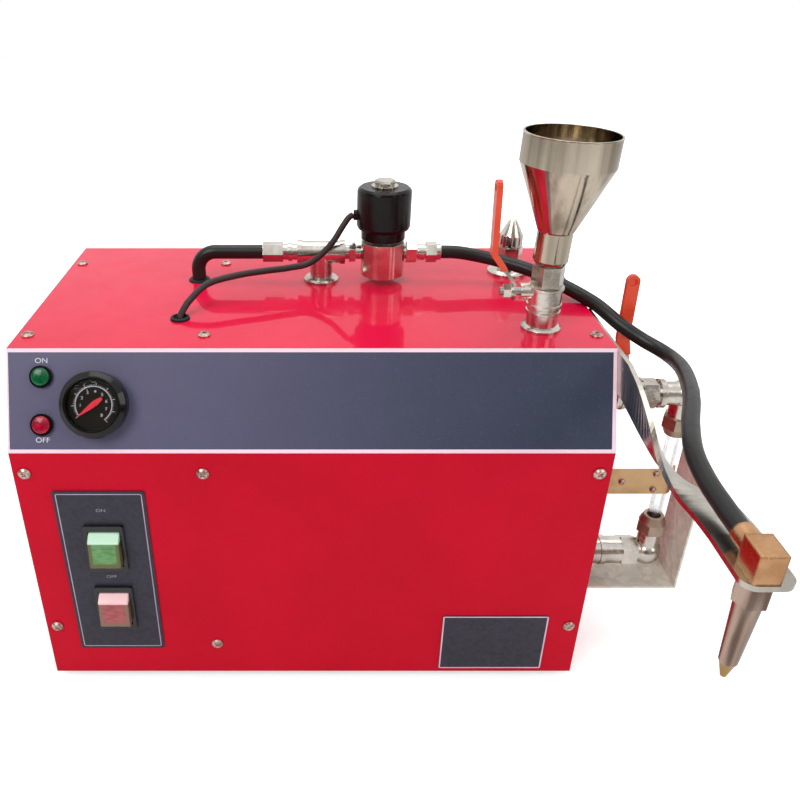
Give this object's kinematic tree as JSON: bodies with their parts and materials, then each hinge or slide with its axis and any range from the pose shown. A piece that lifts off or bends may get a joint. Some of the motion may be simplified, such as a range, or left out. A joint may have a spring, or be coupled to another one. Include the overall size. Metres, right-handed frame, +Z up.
{
  "type": "jewelry steam cleaner",
  "caption": "Bench steam cleaner for jewelry: painted sheet housing with boiler, filling funnel, steam valve, hose, twisted nozzle arm, gauge, rocker switches and side water gauge.",
  "frame": {"origin": "on the table under the middle of the housing's base, in the plane of the feet", "axes": "+X to the user's right across the front, +Y away from the user, +Z up"},
  "size_m": [0.4855, 0.429, 0.4031],
  "materials": {
    "red_paint": "gloss",
    "band_film": "satin, printed",
    "plate_film": "satin, printed",
    "tray_steel": "bare sheet",
    "boiler_steel": "welded stainless",
    "heater_metal": "dull",
    "screw_steel": "zinc plated",
    "foot_rubber": "matt",
    "switch_metal": "satin",
    "terminal_plastic": "matt",
    "black_case": "satin",
    "dial_face": "matt, printed",
    "clear_lens": "clear",
    "needle_red": "matt",
    "green_glow": "clear tinted",
    "red_glow": "clear tinted",
    "green_cap": "satin",
    "red_cap": "satin",
    "sleeve_black": "matt braid",
    "fitting_metal": "plated",
    "inner_steel": "turned",
    "coil_resin": "matt",
    "hose_rubber": "satin",
    "lead_sheath": "matt",
    "funnel_steel": "polished stainless",
    "lever_steel": "plated",
    "grip_vinyl": "dipped vinyl",
    "gauge_glass": "clear",
    "strap_brass": "bright",
    "guard_zinc": "galvanised",
    "arm_steel": "polished",
    "block_brass": "machined",
    "nozzle_metal": "plated, brass tip"
  },
  "bodies": {
    "machine": {"side_shell": "red_paint", "top_panel": "red_paint", "front_panel": "red_paint", "band_panel": "band_film", "switch_plate": "plate_film", "data_plate": "plate_film", "base_tray": "tray_steel", "boiler_tank": "boiler_steel", "heater_element": "heater_metal", "panel_screws": "screw_steel", "bracket_screws": "screw_steel", "rubber_feet": "foot_rubber", "grommets": "foot_rubber", "pressure_switch": "switch_metal", "terminal_block": "terminal_plastic", "gauge_case": "black_case", "lamp_bezels": "black_case", "switch_frames": "black_case", "gauge_dial": "dial_face", "gauge_lens": "clear_lens", "green_lens": "green_glow", "red_lens": "red_glow", "steam_pipe": "sleeve_black", "steam_unions": "fitting_metal", "tee": "fitting_metal", "solenoid_body": "fitting_metal", "coil_nut": "fitting_metal", "hose_fitting": "fitting_metal", "panel_flanges": "fitting_metal", "fill_valve_body": "fitting_metal", "side_valve_body": "fitting_metal", "gauge_elbows": "fitting_metal", "gland_nuts": "fitting_metal", "safety_body": "fitting_metal", "plunger_tube": "inner_steel", "plunger_spring": "inner_steel", "safety_spring": "inner_steel", "coil": "coil_resin", "steam_hose": "hose_rubber", "coil_lead": "lead_sheath", "funnel": "funnel_steel", "sight_glass": "gauge_glass", "glass_strap": "strap_brass", "glass_guard": "guard_zinc", "nozzle_arm": "arm_steel", "brass_block": "block_brass", "nozzle": "nozzle_metal"},
    "fill_handle": {"fill_ball": "inner_steel", "fill_lever": "lever_steel", "fill_grip": "grip_vinyl", "fill_nut": "fitting_metal"},
    "side_handle": {"side_ball": "inner_steel", "side_lever": "lever_steel", "side_grip": "grip_vinyl", "side_nut": "fitting_metal"},
    "steam_switch": {"steam_rocker": "green_cap"},
    "heat_switch": {"heat_rocker": "red_cap"},
    "needle": {"gauge_needle": "needle_red"},
    "safety_plug": {"safety_poppet": "block_brass"},
    "valve_plunger": {"plunger": "inner_steel"}
  },
  "joints": [
    {"name": "fill_valve_turn", "type": "hinge", "parent": "machine", "child": "fill_handle", "pos_m": [0.157, -0.054, 0.299], "axis": [1, 0, 0], "range_deg": [0, 90]},
    {"name": "gauge_valve_turn", "type": "hinge", "parent": "machine", "child": "side_handle", "pos_m": [0.228, -0.06, 0.224], "axis": [0, 1, 0], "range_deg": [0, 90]},
    {"name": "steam_switch_rock", "type": "hinge", "parent": "machine", "child": "steam_switch", "pos_m": [-0.145, -0.114, 0.132], "axis": [1, 0, 0], "range_deg": [0, 12]},
    {"name": "heat_switch_rock", "type": "hinge", "parent": "machine", "child": "heat_switch", "pos_m": [-0.145, -0.114, 0.0765], "axis": [1, 0, 0], "range_deg": [0, 12]},
    {"name": "needle_turn", "type": "hinge", "parent": "machine", "child": "needle", "pos_m": [-0.141, -0.1026, 0.23926], "axis": [0, 0.8973, -0.4414], "range_deg": [0, 260], "stiffness_Nm_per_rad": 0.0005},
    {"name": "safety_lift", "type": "slide", "parent": "machine", "child": "safety_plug", "axis": [0, 0, 1], "range_m": [0, 0.0015], "stiffness_N_per_m": 2000, "springref_m": -0.004, "deforming": ["safety_spring"]},
    {"name": "plunger_lift", "type": "slide", "parent": "machine", "child": "valve_plunger", "axis": [0, 0, 1], "range_m": [0, 0.0025], "stiffness_N_per_m": 500, "springref_m": -0.004, "deforming": ["plunger_spring"]}
  ]
}
